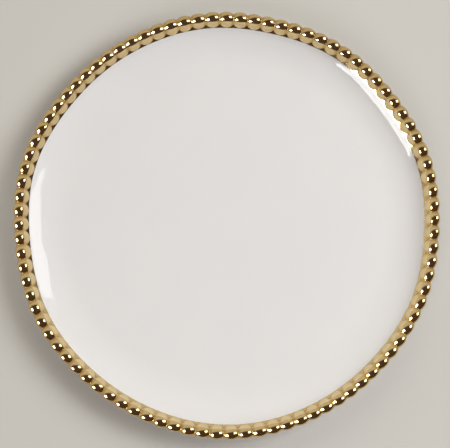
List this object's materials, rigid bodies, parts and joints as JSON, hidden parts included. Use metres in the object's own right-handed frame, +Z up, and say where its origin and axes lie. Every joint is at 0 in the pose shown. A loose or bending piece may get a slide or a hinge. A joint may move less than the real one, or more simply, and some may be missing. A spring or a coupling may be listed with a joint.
{
  "type": "salad plate",
  "caption": "Round white porcelain salad plate with a shallow well, a foot ring and a rim set with gilded beads above a narrow gold band.",
  "frame": {"origin": "on the table under the middle of the plate, in the plane of the foot ring's flat", "axes": "+Z up out of the well, along the plate's axis; +X to the right and +Y to the top of the picture"},
  "size_m": [0.215, 0.2169, 0.0176],
  "materials": {
    "porcelain": "white porcelain under a clear high-gloss glaze, bare only on the flat of the foot ring",
    "gold": "mirror-bright fired gold lustre over glazed porcelain"
  },
  "bodies": {
    "root": {"plate_body": "porcelain", "gold_band": "gold", "bead_strip_01": "gold", "bead_strip_02": "gold", "bead_strip_03": "gold", "bead_strip_04": "gold", "bead_strip_05": "gold", "bead_strip_06": "gold", "bead_strip_07": "gold", "bead_strip_08": "gold", "bead_strip_09": "gold", "bead_strip_10": "gold", "bead_strip_11": "gold", "bead_strip_12": "gold", "bead_strip_13": "gold", "bead_strip_14": "gold", "bead_strip_15": "gold", "bead_strip_16": "gold", "bead_strip_17": "gold", "bead_strip_18": "gold", "bead_strip_19": "gold", "bead_strip_20": "gold", "bead_strip_21": "gold", "bead_strip_22": "gold", "bead_strip_23": "gold"}
  },
  "joints": []
}
